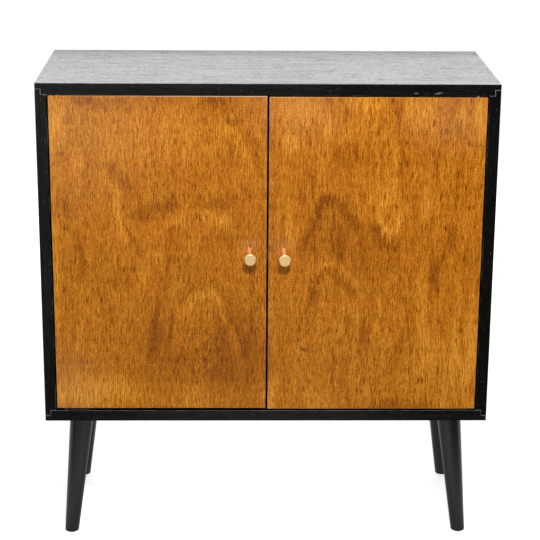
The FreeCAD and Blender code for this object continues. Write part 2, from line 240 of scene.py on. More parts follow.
floor_paper = bpy.data.materials.new("floor_paper")
floor_paper.use_nodes = True
tree = floor_paper.node_tree
tree.nodes.clear()
rays = add_node(tree, "LightPath").outputs
place = object_place(tree)
paper = mix_colour(tree, noise(tree, place, 40.0, 4.0), floor_colour, floor_fibre_colour)
matte = add_node(tree, "BsdfDiffuse", {"Color": paper}).outputs[0]
from_middle = add_node(tree, "VectorMath", {0: place}, operation="LENGTH").outputs["Value"]
glow = remap(tree, from_middle, *shadow_reach, floor_glow_near, floor_glow_far)
seen_clear = calc(tree, "MAXIMUM", rays["Is Camera Ray"], rays["Is Transmission Ray"])
glow = calc(tree, "MULTIPLY", seen_clear, glow)
glowing = add_node(tree, "Emission", {"Strength": glow}).outputs[0]
lit = add_node(tree, "AddShader", {0: matte, 1: glowing}).outputs[0]
across, depth, _ = axes_of(tree, place)
from_side = calc(tree, "ABSOLUTE", across)
front = remap(tree, across, *front_side, *front_glow)
mirror_glow = remap(tree, depth, *paper_end, paper_glow, front)
folded = add_node(tree, "CombineXYZ", {0: from_side, 1: depth}).outputs[0]
off_leg = add_node(tree, "VectorMath", {0: folded, 1: front_leg}, operation="DISTANCE").outputs["Value"]
dark = calc(tree, "MULTIPLY", remap(tree, off_leg, *dark_from_leg), remap(tree, from_side, *dark_side))
dark = calc(tree, "MULTIPLY", dark, remap(tree, depth, *dark_front))
dark = calc(tree, "MULTIPLY", dark, remap(tree, depth, *dark_end))
mirror_glow = remap(tree, dark, 0.0, 1.0, mirror_glow, dark_glow)
off_middle = calc(tree, "ABSOLUTE", depth)
under = calc(tree, "MULTIPLY", remap(tree, from_side, *under_side), remap(tree, off_middle, *under_depth))
mirror_glow = calc(tree, "MULTIPLY", mirror_glow, remap(tree, under, 0.0, 1.0, 1.0, under_share))
wall = remap(tree, across, *wall_side, *wall_glow)
mirror_glow = remap(tree, depth, *wall_start, mirror_glow, wall)
mirrored = add_node(tree, "Emission", {"Strength": mirror_glow}).outputs[0]
both = add_node(tree, "MixShader", {0: rays["Is Glossy Ray"], 1: lit, 2: mirrored}).outputs[0]
backfacing = add_node(tree, "NewGeometry").outputs["Backfacing"]
from_below = calc(tree, "MULTIPLY", backfacing, rays["Is Camera Ray"])
clear = add_node(tree, "BsdfTransparent").outputs[0]
surface = add_node(tree, "MixShader", {0: from_below, 1: both, 2: clear}).outputs[0]
add_node(tree, "OutputMaterial", {"Surface": surface})
floor.data.materials.append(floor_paper)

world = bpy.data.worlds.new("white_surround")
bpy.context.scene.world = world
world.use_nodes = True
tree = world.node_tree
tree.nodes.clear()
rays = add_node(tree, "LightPath").outputs
seen = calc(tree, "MAXIMUM", rays["Is Camera Ray"], rays["Is Transmission Ray"])
level = remap(tree, seen, 0.0, 1.0, ambient_level, 1.0)
aside, ahead, _ = axes_of(tree, add_node(tree, "TexCoord").outputs["Generated"])
wall = remap(tree, aside, *wall_turn, *wall_glow)
mirror_level = remap(tree, ahead, *wall_ahead, 1.0, wall)
level = remap(tree, rays["Is Glossy Ray"], 0.0, 1.0, level, mirror_level)
surround = add_node(tree, "Background", {"Color": (1, 1, 1, 1), "Strength": level}).outputs[0]
add_node(tree, "OutputWorld", {"Surface": surround})
print("floor", floor_reach, "m wide; ambient level", ambient_level)

# %% [markdown]
# The lamps.
# Four soft boxes light the cabinet. The key hangs high in front, so the tops of the doors come out brighter
# than their feet, and it is small enough that a knob throws a soft shadow below itself. A weak one right
# at the camera fills the shadows and glints in the corner between a knob and the varnish. Another almost
# overhead picks out the upper rims of the doors and knobs. The last stands behind the cabinet: at the
# camera's shallow angle its reflection turns the black top to a silky grey.

# %% Hang the soft boxes
def soft_box(name, place, target, width, height, watts):
    """A rectangular lamp at a place, facing a target."""
    bpy.ops.object.light_add(type="AREA", location=place)
    lamp = bpy.context.object
    lamp.name = name
    lamp.data.shape = "RECTANGLE"
    lamp.data.size = width
    lamp.data.size_y = height
    lamp.data.energy = watts
    lamp.visible_camera = False
    lamp.rotation_euler = (Vector(target) - Vector(place)).to_track_quat("-Z", "Y").to_euler()
    return lamp


door_middle = (0.0, -0.18, 0.62)
top_middle = (0.0, 0.0, 0.977)
soft_box("key_box", (0.15, -2.37, 2.67), door_middle, 0.36, 0.36, 83.0)
soft_box("overhead_box", (0.0, -0.85, 2.35), door_middle, 1.2, 0.6, 3.0)
soft_box("front_box", (-0.06, -3.42, 1.61), door_middle, 0.5, 0.4, 22.0)
soft_box("back_box", (0.0, 2.9, 2.23), top_middle, 3.6, 1.5, 81.0)

# %% [markdown]
# Shared effect: worn and lit arrises.
# The rounded edges of boards are paled, partly as lacquer worn thin and partly as a painted highlight where
# the rounding catches light. A board's flat faces point along an axis of the cabinet, and only the rounding
# between them points in between, so the normal in the piece's own frame tells edge from face. A noise
# breaks the line up, as real handling does.

# %% Node group for worn and lit arrises
worn_and_lit_arris, given, out = new_group(
    "worn_and_lit_arris",
    {"Vector": ("Vector", (0, 0, 0)), "Patch Size": ("Float", 0.03), "Coverage": ("Float", 0.5)},
    ["Edge", "Rounding"])
tree = worn_and_lit_arris
normal = add_node(tree, "TexCoord").outputs["Normal"]
sides = axes_of(tree, vector_calc(tree, "ABSOLUTE", normal))
largest = calc(tree, "MAXIMUM", calc(tree, "MAXIMUM", sides[0], sides[1]), sides[2])
rounding = remap(tree, largest, 0.995, 0.9)
patches = noise(tree, given["Vector"], calc(tree, "DIVIDE", 1.0, given["Patch Size"]), 4.0, 0.65)
threshold = calc(tree, "MULTIPLY_ADD", given["Coverage"], -0.6, 0.8)
patchy = remap(tree, patches, threshold, calc(tree, "ADD", threshold, 0.12))
fill(tree, out[0].node, {"Edge": calc(tree, "MULTIPLY", rounding, patchy), "Rounding": rounding})
print("group:", worn_and_lit_arris.name)

# %% [markdown]
# Shared effect: wood grain under a stain.
# Open pores run along the board as fine dark lines and sink a little below the lacquer, and slower bands
# of early and late wood show as changes of tone. Both are noises stretched along the grain; the material
# turns and stretches the point before it comes in here, so that one group serves every board.

# %% Node group for wood grain
wood_grain, given, out = new_group(
    "wood_grain",
    {"Vector": ("Vector", (0, 0, 0))},
    ["Pores", "Bands", "Height"])
tree = wood_grain
wander = noise(tree, given["Vector"], 0.3, 2.0)
drift = add_node(tree, "CombineXYZ", {1: calc(tree, "MULTIPLY", wander, 2.5)}).outputs[0]
flow = vector_calc(tree, "ADD", given["Vector"], drift)
fine = noise(tree, flow, 1.6, 2.0, 0.55)
coarse = noise(tree, flow, 0.7, 2.0, 0.6)
bands = remap(tree, noise(tree, flow, 0.24, 3.0, 0.6), 0.32, 0.68)
pores = remap(tree, calc(tree, "MULTIPLY_ADD", fine, 0.5, calc(tree, "MULTIPLY", coarse, 0.5)), 0.50, 0.66)
height = calc(tree, "MULTIPLY_ADD", pores, -0.7, calc(tree, "MULTIPLY", coarse, 0.3))
fill(tree, out[0].node, {"Pores": pores, "Bands": bands, "Height": height})
print("group:", wood_grain.name)

# %% [markdown]
# Shared effect: dust.
# A few pale specks lie on any dark finish. Cells scattered over the surface each hold one speck, and a
# random value per cell leaves most of them empty.

# %% Node group for dust
dust, given, out = new_group(
    "dust",
    {"Vector": ("Vector", (0, 0, 0)), "Cell Size": ("Float", 0.014), "Speck Size": ("Float", 0.0006),
     "Share": ("Float", 0.3)},
    ["Specks"])
tree = dust
cells = add_node(tree, "TexVoronoi", {
    "Vector": given["Vector"], "Scale": calc(tree, "DIVIDE", 1.0, given["Cell Size"])}).outputs
chance = add_node(tree, "SeparateColor", {0: cells["Color"]}).outputs
chosen = calc(tree, "LESS_THAN", chance[0], given["Share"])
radius = calc(tree, "DIVIDE", given["Speck Size"], given["Cell Size"])
radius = calc(tree, "MULTIPLY", radius, calc(tree, "MULTIPLY_ADD", chance[1], 1.2, 0.4))
speck = remap(tree, cells["Distance"], radius, calc(tree, "MULTIPLY", radius, 0.4))
fill(tree, out[0].node, {"Specks": calc(tree, "MULTIPLY", speck, chosen)})
print("group:", dust.name)

# %% [markdown]
# Shared effect: uneven gloss.
# A sprayed or wiped finish is never equally shiny: handling, wiping and film thickness leave soft patches.
# The group gives a roughness around a middle value, from slow clouds and a fine tooth.

# %% Node group for uneven gloss
uneven_gloss, given, out = new_group(
    "uneven_gloss",
    {"Vector": ("Vector", (0, 0, 0)), "Middle": ("Float", 0.4), "Spread": ("Float", 0.1),
     "Patch Size": ("Float", 0.08)},
    ["Roughness"])
tree = uneven_gloss
slow = noise(tree, given["Vector"], calc(tree, "DIVIDE", 1.0, given["Patch Size"]), 4.0, 0.6)
tooth = noise(tree, given["Vector"], 900.0, 2.0)
swing = calc(tree, "MULTIPLY_ADD", tooth, 0.7, calc(tree, "MULTIPLY", slow, 1.3))
rough = calc(tree, "MULTIPLY_ADD", calc(tree, "SUBTRACT", swing, 1.0), given["Spread"], given["Middle"])
fill(tree, out[0].node, {"Roughness": rough})
print("group:", uneven_gloss.name)

# %% [markdown]
# Door veneer: soft clouds of tone.
# Rotary-cut veneer is peeled from the log in one sheet, so it shows broad clouds where the knife skims
# along one growth ring. Slow noise gives the general unrest, and the clouds that this cabinet has are
# placed one by one. A cloud is an ellipse with a soft rim, leaned over by a tilt.

# %% Node group for a soft cloud
soft_cloud, given, out = new_group(
    "soft_cloud",
    {"Vector": ("Vector", (0, 0, 0)), "Centre": ("Vector", (0, 0, 0)), "Half Size": ("Vector", (1, 1, 1)),
     "Tilt": ("Float", 0.0)},
    ["Mask"])
tree = soft_cloud
away = vector_calc(tree, "SUBTRACT", given["Vector"], given["Centre"])
turn = {"Vector": away, "Angle": given["Tilt"]}
leaned = add_node(tree, "VectorRotate", turn, rotation_type="Y_AXIS").outputs[0]
share = vector_calc(tree, "DIVIDE", leaned, given["Half Size"])
radius = add_node(tree, "VectorMath", {0: share}, operation="LENGTH").outputs["Value"]
fill(tree, out[0].node, {"Mask": remap(tree, radius, 1.5, 0.0)})


def clouds(tree, where, spots, total=0.0, amount=1.0):
    """Add soft clouds to a running total; a spot may end with an amount of its own."""
    for across, up, half_wide, half_high, tilt, *own in spots:
        cloud = use_group(tree, soft_cloud, Vector=where, Centre=(across, 0, up),
                          Half_Size=(half_wide, 1, half_high), Tilt=math.radians(tilt))
        total = plus(tree, total, cloud["Mask"], own[0] if own else amount)
    return total


print("group:", soft_cloud.name)

# %% [markdown]
# Door veneer: growth lines.
# Where the knife leaves one ring and enters the next, the sheet shows a line that climbs to a rounded
# peak and falls again, or hangs as a tongue. A parabola with its own steepness on each side follows such
# a line. Its outer rim is crisp and its inner side fades, because wood changes slowly through a season
# and abruptly at the winter's end.

# %% Node group for a growth line
growth_line, given, out = new_group(
    "growth_line",
    {"Vector": ("Vector", (0, 0, 0)), "Peak": ("Vector", (0, 0, 0)), "Left Curve": ("Float", 10.0),
     "Right Curve": ("Float", 10.0), "Left Reach": ("Float", 0.1), "Right Reach": ("Float", 0.1),
     "Width": ("Float", 0.01)},
    ["Line"])
tree = growth_line
away = vector_calc(tree, "SUBTRACT", given["Vector"], given["Peak"])
across, _, up = axes_of(tree, away)
on_right = calc(tree, "GREATER_THAN", across, 0.0)
curve = remap(tree, on_right, 0.0, 1.0, given["Left Curve"], given["Right Curve"])
reach = remap(tree, on_right, 0.0, 1.0, given["Left Reach"], given["Right Reach"])
lean = calc(tree, "MULTIPLY", curve, across)
drop = calc(tree, "MULTIPLY_ADD", lean, across, up)
slope = calc(tree, "MULTIPLY", lean, 2.0)
steepness = calc(tree, "SQRT", calc(tree, "MULTIPLY_ADD", slope, slope, 1.0))
outward = calc(tree, "MULTIPLY", drop, calc(tree, "SIGN", curve))
distance = calc(tree, "DIVIDE", calc(tree, "DIVIDE", outward, steepness), given["Width"])
rim = calc(tree, "MULTIPLY", remap(tree, distance, -1.8, 0.0), remap(tree, distance, 0.7, 0.0))
end_fade = remap(tree, calc(tree, "DIVIDE", calc(tree, "ABSOLUTE", across), reach), 1.0, 0.55)
fill(tree, out[0].node, {"Line": calc(tree, "MULTIPLY", rim, end_fade)})
print("group:", growth_line.name)

# %% [markdown]
# Door veneer: where the figure lies.
# These clouds and lines give the two doors their look, by place on the door in metres: across from the
# cabinet's middle, and up from the floor. Tone is how much lighter or darker they are. Long thin clouds
# make the streaks, and broad ones the light and dark zones between them.

# %% Figure of the left door
# across, up, half width, half height, tilt in degrees, tone
left_clouds = [
    # broad lighter and darker zones
    (-0.240, 0.880, 0.170, 0.070, 0, 0.08),
    (-0.215, 0.410, 0.070, 0.080, 0, -0.10),
    (-0.075, 0.400, 0.075, 0.110, 0, -0.20),
    # dark band under the top edge, and light down the hinge side
    (-0.358, 0.944, 0.030, 0.012, 0, -0.26),
    (-0.300, 0.940, 0.040, 0.012, 0, -0.14),
    (-0.210, 0.946, 0.060, 0.007, 0, -0.14),
    (-0.100, 0.938, 0.040, 0.016, 0, -0.22),
    (-0.415, 0.905, 0.024, 0.060, 0, 0.16),
    (-0.426, 0.650, 0.010, 0.300, 0, 0.12),
    (-0.378, 0.805, 0.014, 0.050, 0, 0.10),
    # ragged dark line beside the hinge side
    (-0.397, 0.728, 0.008, 0.026, 0, -0.18),
    (-0.380, 0.647, 0.007, 0.045, 15, -0.16),
    (-0.372, 0.597, 0.010, 0.030, 0, -0.16),
    # dark band that sinks into the bowl
    (-0.310, 0.808, 0.010, 0.020, 15, -0.16),
    (-0.283, 0.770, 0.012, 0.026, 35, -0.18),
    (-0.250, 0.716, 0.022, 0.016, 0, -0.20),
    (-0.205, 0.730, 0.034, 0.012, 8, -0.22),
    (-0.195, 0.740, 0.008, 0.014, -20, -0.12),
    (-0.100, 0.740, 0.045, 0.014, 0, -0.14),
    # light line that runs down beside it, and the dark line that closes it
    (-0.312, 0.768, 0.007, 0.026, 35, 0.15),
    (-0.299, 0.712, 0.010, 0.045, 3, 0.15),
    (-0.290, 0.668, 0.009, 0.020, 20, 0.13),
    (-0.273, 0.662, 0.004, 0.036, 30, -0.20),
    (-0.258, 0.634, 0.007, 0.010, 30, -0.16),
    # under the first peak
    (-0.110, 0.708, 0.030, 0.010, 0, 0.10),
    (-0.228, 0.630, 0.016, 0.016, 0, 0.13),
    (-0.190, 0.668, 0.010, 0.022, 0, -0.12),
    (-0.203, 0.600, 0.004, 0.050, 0, -0.15),
    (-0.085, 0.670, 0.026, 0.020, 0, -0.10),
    (-0.312, 0.572, 0.012, 0.010, 0, -0.18),
    (-0.295, 0.590, 0.026, 0.026, 0, -0.08),
    (-0.248, 0.580, 0.014, 0.024, 0, 0.11),
    # slanting dark streaks beside the second peak
    (-0.224, 0.504, 0.008, 0.040, -14, -0.24),
    (-0.226, 0.452, 0.014, 0.040, -8, -0.18),
    (-0.193, 0.478, 0.006, 0.044, -14, -0.24),
    (-0.168, 0.538, 0.007, 0.012, -25, -0.16),
    (-0.178, 0.412, 0.005, 0.030, -18, -0.16),
    (-0.078, 0.492, 0.006, 0.024, 12, -0.18),
    # free edge
    (-0.033, 0.490, 0.005, 0.035, 0, -0.16),
    (-0.030, 0.575, 0.004, 0.030, 0, -0.13),
    (-0.040, 0.436, 0.008, 0.020, 0, -0.10),
    # slanting lines and the light field at the foot
    (-0.383, 0.460, 0.005, 0.050, -15, 0.14),
    (-0.396, 0.466, 0.005, 0.018, 0, -0.14),
    (-0.378, 0.404, 0.006, 0.014, -20, -0.14),
    (-0.345, 0.335, 0.100, 0.040, 0, 0.24),
    (-0.426, 0.328, 0.008, 0.020, 0, 0.20),
    (-0.110, 0.330, 0.110, 0.030, 0, 0.10),
    (-0.165, 0.322, 0.005, 0.016, 0, 0.12),
]
print("left door:", len(left_clouds), "clouds")

# %% Figure of the right door
right_clouds = [
    # broad lighter and darker zones
    (0.130, 0.890, 0.110, 0.060, 0, 0.07),
    (0.220, 0.620, 0.110, 0.080, 0, -0.05),
    (0.370, 0.395, 0.070, 0.100, 0, 0.16),
    # light streaks and spots along the top, with dark ones between
    (0.045, 0.862, 0.018, 0.022, 0, 0.16),
    (0.060, 0.925, 0.060, 0.030, 0, 0.10),
    (0.118, 0.897, 0.006, 0.045, 0, 0.15),
    (0.150, 0.880, 0.004, 0.040, 0, 0.11),
    (0.190, 0.940, 0.040, 0.016, 0, 0.18),
    (0.305, 0.920, 0.040, 0.040, 0, 0.17),
    (0.380, 0.912, 0.016, 0.022, 0, 0.20),
    (0.418, 0.915, 0.014, 0.050, 0, 0.18),
    (0.155, 0.918, 0.004, 0.022, 0, -0.18),
    (0.258, 0.912, 0.008, 0.030, 0, -0.18),
    (0.268, 0.830, 0.005, 0.060, 4, -0.16),
    (0.170, 0.830, 0.040, 0.024, 0, -0.10),
    (0.172, 0.842, 0.005, 0.025, 0, -0.14),
    (0.138, 0.835, 0.004, 0.026, 0, -0.14),
    (0.066, 0.745, 0.010, 0.014, 0, -0.14),
    (0.090, 0.768, 0.006, 0.018, -8, -0.20),
    # dark ridge that climbs to a peak and falls away to the right
    (0.118, 0.734, 0.020, 0.016, 20, -0.20),
    (0.098, 0.712, 0.008, 0.024, -20, -0.16),
    (0.150, 0.712, 0.008, 0.020, 30, -0.18),
    (0.178, 0.690, 0.022, 0.008, -20, -0.18),
    (0.212, 0.684, 0.014, 0.009, -25, -0.20),
    (0.222, 0.664, 0.010, 0.014, 15, -0.16),
    (0.245, 0.648, 0.022, 0.008, -20, -0.16),
    (0.127, 0.668, 0.005, 0.045, 0, -0.16),
    (0.150, 0.655, 0.012, 0.040, 0, -0.15),
    (0.098, 0.642, 0.010, 0.026, 0, -0.14),
    (0.080, 0.664, 0.008, 0.040, -20, -0.16),
    (0.150, 0.650, 0.080, 0.050, 0, -0.08),
    # light tongue above the ridge, and light strips at the free edge
    (0.232, 0.742, 0.034, 0.050, 0, 0.11),
    (0.242, 0.686, 0.016, 0.010, 0, 0.13),
    (0.043, 0.690, 0.006, 0.035, 0, 0.15),
    (0.060, 0.664, 0.006, 0.026, -12, 0.13),
    # upright streaks down the hinge side
    (0.320, 0.740, 0.016, 0.040, 0, 0.13),
    (0.341, 0.672, 0.004, 0.032, 0, 0.14),
    (0.333, 0.822, 0.005, 0.022, 0, -0.14),
    (0.379, 0.795, 0.004, 0.020, 0, -0.18),
    (0.376, 0.744, 0.006, 0.016, 0, -0.16),
    (0.366, 0.664, 0.010, 0.026, 0, -0.20),
    (0.353, 0.630, 0.005, 0.026, 0, -0.18),
    (0.399, 0.630, 0.004, 0.030, 0, -0.14),
    (0.342, 0.590, 0.010, 0.040, 0, -0.18),
    (0.352, 0.468, 0.012, 0.028, 0, -0.14),
    (0.346, 0.375, 0.008, 0.060, 0, -0.11),
    (0.312, 0.500, 0.018, 0.090, 0, 0.13),
    (0.418, 0.450, 0.014, 0.120, 0, 0.12),
    # under the second ridge
    (0.085, 0.545, 0.008, 0.035, -8, -0.18),
    (0.180, 0.546, 0.012, 0.008, -15, -0.16),
    (0.230, 0.528, 0.007, 0.022, 0, 0.16),
    (0.223, 0.474, 0.005, 0.020, 5, 0.18),
    (0.270, 0.500, 0.003, 0.016, 0, 0.15),
    (0.200, 0.458, 0.010, 0.040, 0, -0.18),
    (0.168, 0.480, 0.004, 0.040, 0, -0.16),
    (0.192, 0.412, 0.005, 0.022, 8, -0.18),
    (0.276, 0.425, 0.010, 0.040, -8, -0.11),
    (0.292, 0.580, 0.005, 0.012, 0, -0.16),
    (0.068, 0.480, 0.005, 0.040, 0, -0.12),
    (0.136, 0.395, 0.004, 0.060, 2, -0.14),
    # light and dark fields at the foot
    (0.010, 0.330, 0.018, 0.040, 0, 0.18),
    (0.100, 0.325, 0.035, 0.030, 0, 0.14),
    (0.210, 0.338, 0.014, 0.012, 0, 0.11),
    (0.250, 0.303, 0.032, 0.012, 0, -0.20),
    (0.315, 0.300, 0.050, 0.008, 0, -0.14),
    (0.426, 0.308, 0.008, 0.010, 0, 0.22),
]
print("right door:", len(right_clouds), "clouds")

# %% Growth lines and fanning strands
# across, up, left curve, right curve, left reach, right reach, width, tone
door_lines = [
    (-0.115, 0.716, 3.0, 15.0, 0.130, 0.080, 0.012, 0.10),
    (-0.122, 0.557, 16.0, 32.0, 0.080, 0.090, 0.014, 0.14),
    (-0.118, 0.568, 16.0, 30.0, 0.030, 0.092, 0.008, -0.12),
    (-0.085, 0.894, 20.0, 24.0, 0.012, 0.074, 0.010, 0.10),
    (-0.072, 0.902, 20.0, 24.0, 0.010, 0.070, 0.010, -0.10),
    (0.118, 0.744, 60.0, 14.0, 0.046, 0.075, 0.014, -0.13),
    (0.120, 0.600, 42.0, 15.0, 0.044, 0.068, 0.013, -0.19),
    (0.124, 0.612, 40.0, 10.5, 0.030, 0.092, 0.010, 0.15),
    (0.247, 0.675, -39.0, -85.0, 0.034, 0.028, 0.008, 0.22),
]
# across, up, half width, half height, spread: below a peak the strands of the grain fan out
strand_fans = [
    (-0.120, 0.450, 0.080, 0.130, 0.50),
    (0.115, 0.600, 0.080, 0.170, 0.35),
]
print("growth lines:", len(door_lines), "fans:", len(strand_fans))

# %% [markdown]
# Door veneer: small marks.
# A used cabinet has a few: a slanting dent with a dark bottom below the right knob, two pale flecks low on
# the left door and a pale nick on the right door's free edge. They are tiny clouds on the front face only.

# %% Marks on the doors
# across, up, half width, half height, tilt in degrees
dark_marks = [(0.0735, 0.4262, 0.0085, 0.0030, -42)]
pale_marks = [
    (-0.3374, 0.4183, 0.0012, 0.0014, 0),
    (-0.3786, 0.3262, 0.0012, 0.0014, 0),
    (0.0101, 0.7775, 0.0008, 0.0030, 10),
]
print("marks:", len(dark_marks) + len(pale_marks))

# %% [markdown]
# Door veneer: the finish.
# Under the figure lies the small grain: thousands of short dark vessel lines that follow the trunk and
# wander a little. The point is first pushed sideways by slow noise, so that streaks and vessels wander
# together. The strands also push the figure up and down, which feathers the rims of its clouds, and the
# figure is multiplied by them, because a dark zone in wood is a crowd of dark fibres.
# The tone then picks a colour, from dark brown through amber to honey. A satin varnish lies on top, which
# is why the shader has a thin coat; fingers have polished it above each knob, and near the top and the
# lower left corner a faint pale film is painted on it, partly dust and partly a painted sheen on the varnish.

# %% Figure and grain of the door veneer
feather = 0.060
figure_strength = 1.3
slow_push = 0.075
quick_push = 0.020
wobble_reach = (0.026, 0, 0.026)
middle_tone = 0.525
dash_tone = -0.36
dash_range = (0.56, 0.72)
streak_side = (-0.05, 0.25)
streak_weight = (0.10, 0.24)
veneer, tree, shader = new_finish(
    "door_veneer", Specular_IOR_Level=0.0, Coat_Roughness=0.18, Coat_IOR=1.6)
place = object_place(tree)
slow_wander = noise(tree, stretched(tree, place, (2.6, 20.0, 1.3)))
quick_wander = noise(tree, stretched(tree, place, (14.0, 40.0, 6.0)))
push = plus(tree, 0.0, slow_wander, slow_push, 0.5)
push = plus(tree, push, quick_wander, quick_push, 0.5)
flat_place = vector_calc(tree, "MULTIPLY", place, (1, 0, 1))
for across, up, half_wide, half_high, spread in strand_fans:
    fan = use_group(tree, soft_cloud, Vector=flat_place, Centre=(across, 0, up),
                    Half_Size=(half_wide, 1, half_high))
    offset = calc(tree, "SUBTRACT", axes_of(tree, flat_place)[0], across)
    push = plus(tree, push, calc(tree, "MULTIPLY", fan["Mask"], offset), -spread)
sideways = add_node(tree, "CombineXYZ", {0: push}).outputs[0]
flow = vector_calc(tree, "ADD", place, sideways)
wobble = add_node(tree, "TexNoise", {"Vector": place, "Scale": 14.0, "Detail": 3.0}).outputs["Color"]
wobble = vector_calc(tree, "SUBTRACT", wobble, (0.5, 0.5, 0.5))
figure = vector_calc(tree, "MULTIPLY_ADD", wobble, wobble_reach, flat_place)
strands = noise(tree, stretched(tree, flow, (460.0, 60.0, 22.0)), 1.0, 1.0)
feathered = add_node(tree, "CombineXYZ", {2: plus(tree, 0.0, strands, feather, 0.5)}).outputs[0]
figure = vector_calc(tree, "ADD", figure, feathered)
unrest = noise(tree, stretched(tree, flow, (9.0, 30.0, 3.4)), 1.0, 3.0, 0.55)
bundles = noise(tree, stretched(tree, flow, (40.0, 40.0, 9.0)), 1.0, 0.0)
streaks = noise(tree, stretched(tree, flow, (125.0, 60.0, 10.0)), 1.0, 0.0)
vessels = noise(tree, stretched(tree, flow, (560.0, 120.0, 128.0)), 1.0, 1.0)
tooth = noise(tree, stretched(tree, place, (560.0, 300.0, 430.0)), 1.0, 0.0)
hairlines = noise(tree, stretched(tree, flow, (560.0, 150.0, 46.0)), 1.0, 0.0)
dashes = remap(tree, hairlines, *dash_range)
marked = clouds(tree, figure, left_clouds + right_clouds)
for across, up, left, right, left_reach, right_reach, wide, amount in door_lines:
    line = use_group(tree, growth_line, Vector=figure, Peak=(across, 0, up), Left_Curve=left,
                     Right_Curve=right, Left_Reach=left_reach, Right_Reach=right_reach, Width=wide)
    marked = plus(tree, marked, line["Line"], amount)
stranded = calc(tree, "MULTIPLY", marked, calc(tree, "MULTIPLY_ADD", strands, 1.6, 0.2))
streakiness = remap(tree, axes_of(tree, place)[0], *streak_side, *streak_weight)
layers = [
    (unrest, 0.10), (bundles, 0.12), (streaks, streakiness), (strands, 0.44), (vessels, 0.70), (tooth, 0.74)]
tone = plus(tree, middle_tone, stranded, figure_strength)
for layer, weight in layers:
    tone = plus(tree, tone, layer, weight, 0.5)
tone = plus(tree, tone, dashes, dash_tone)
print("veneer figure:", len(tree.nodes), "nodes")

# %% Colour and varnish of the door veneer
raw_and_lit_edge_colour = (0.60, 0.54, 0.47, 1)
raw_and_lit_edge_up = (0.9507, 0.9517)
raw_and_lit_edge_side = (-0.40, -0.10)
worn_and_lit_edge_colour = (0.60, 0.34, 0.14, 1)
dent_colour = (0.060, 0.022, 0.003, 1)
nick_colour = (0.62, 0.50, 0.36, 1)
dust_and_sheen_colour = (0.62, 0.47, 0.38, 1)
dust_and_sheen_share = 0.048
speck_colour = (0.75, 0.58, 0.38, 1)
front_skin = (-0.1745, -0.1790)
varnish_weight = 0.19
polish_weight = 0.77
polish_rise = 0.022
polish_half = (0.022, 0.020)
# across, up, half width, half height, tilt in degrees
dust_and_sheen_film = [
    (-0.42, 0.93, 0.22, 0.20, 0), (0.06, 0.94, 0.11, 0.08, 0), (0.37, 0.91, 0.11, 0.07, 0),
    (-0.42, 0.33, 0.09, 0.10, 0)]
knob_spots = {}
for side in ("left", "right"):
    low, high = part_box(side + "_knob")
    knob_spots[side] = ((low.x + high.x) / 2, (low.z + high.z) / 2)
colour = colour_ramp(tree, tone, [
    (0.05, (0.165, 0.042, 0.0025, 1)), (0.35, (0.315, 0.092, 0.0045, 1)), (0.55, (0.450, 0.145, 0.007, 1)),
    (0.75, (0.580, 0.223, 0.018, 1)), (0.98, (0.690, 0.308, 0.036, 1))])
edges = use_group(tree, worn_and_lit_arris, Vector=place, Patch_Size=0.05, Coverage=0.8)
# painted highlight: the door's rounded edges are paled, partly as wear and partly as the light they catch
colour = mix_colour(tree, edges["Edge"], colour, worn_and_lit_edge_colour, 0.5)
across, depth, up = axes_of(tree, place)
# painted highlight: the rounding on the left door's top edge is paled, partly as raw wood and partly as the
# light it catches, more towards the free end
raw_and_lit_edge = calc(tree, "MULTIPLY", remap(tree, up, *raw_and_lit_edge_up), remap(tree, across, *raw_and_lit_edge_side))
colour = mix_colour(tree, calc(tree, "MULTIPLY", raw_and_lit_edge, edges["Rounding"]), colour, raw_and_lit_edge_colour)
on_front = remap(tree, depth, *front_skin)
dark_spots = clouds(tree, flat_place, dark_marks)
pale_spots = clouds(tree, flat_place, pale_marks)
dust_and_sheen = clouds(tree, flat_place, dust_and_sheen_film)
colour = mix_colour(tree, calc(tree, "MULTIPLY", on_front, dark_spots), colour, dent_colour, 0.9)
colour = mix_colour(tree, calc(tree, "MULTIPLY", on_front, pale_spots), colour, nick_colour, 0.8)
# painted sheen: a pale film near the top and lower left, partly dust and partly a painted sheen on the
# varnish
colour = mix_colour(tree, calc(tree, "MULTIPLY", on_front, dust_and_sheen), colour, dust_and_sheen_colour, dust_and_sheen_share)
specks = use_group(tree, dust, Vector=place, Cell_Size=0.05, Speck_Size=0.0008, Share=0.10)
colour = mix_colour(tree, specks["Specks"], colour, speck_colour, 0.4)
gloss = use_group(tree, uneven_gloss, Vector=place, Middle=0.40, Spread=0.10, Patch_Size=0.12)
relief = plus(tree, calc(tree, "MULTIPLY", vessels, 0.6), calc(tree, "ADD", dashes, dark_spots), -0.5)
handled = [(across, up + polish_rise, *polish_half, 0) for across, up in knob_spots.values()]
coat = clouds(tree, flat_place, handled, varnish_weight, polish_weight)
dress(tree, shader, Base_Color=colour, Roughness=gloss["Roughness"], Coat_Weight=coat,
      Normal=bump(tree, relief, 0.12, 0.0003))
print("finish:", veneer.name, "nodes:", len(tree.nodes))

# %% [markdown]
# Black stain on the carcass.
# The boards are stained black and sealed with a thin satin lacquer, so their pores still show as fine
# lines and short flecks along each board: across the top, bottom and shelf, and upright on the sides.
# Towards the rear the boards were wiped less and are duller. Arrises are paled to grey, partly rubbed and
# partly a painted highlight; a little dust lies on them, and two scuffs mark the front of the top. The shelf
# is paled in streaks from front to back, a painted sheen for the light that falls on it through the gap
# between the doors, while the bottom board has kept more of its shine. A function makes the stain for a
# grain direction, a share of painted sheen and a shine.

